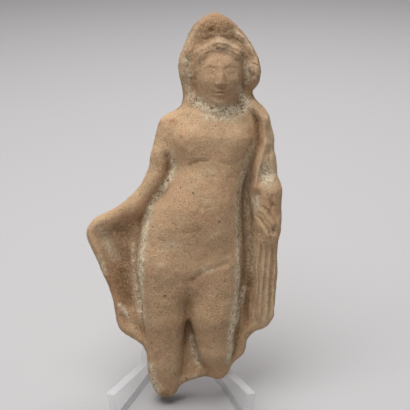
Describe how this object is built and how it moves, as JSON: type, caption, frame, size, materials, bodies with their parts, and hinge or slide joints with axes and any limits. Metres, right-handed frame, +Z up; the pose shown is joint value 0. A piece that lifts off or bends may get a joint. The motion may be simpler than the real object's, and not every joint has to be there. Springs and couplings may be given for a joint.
{
  "type": "terracotta figurine on easel",
  "caption": "Moulded terracotta figurine of a draped standing goddess, feet broken off, leaning back on a folded clear acrylic display easel.",
  "frame": {"origin": "on the surface the easel stands on, under the middle of the whole piece's box", "axes": "+Z up, the figurine faces -Y and leans back towards +Y, +X to the viewer's right"},
  "size_m": [0.0668, 0.0596, 0.128],
  "materials": {
    "terracotta": "matt fired clay, worn, with grey-white encrustation in the hollows",
    "clear_acrylic": "clear polished sheet"
  },
  "bodies": {
    "root": {"figurine": "terracotta", "display_easel": "clear_acrylic"}
  },
  "joints": []
}
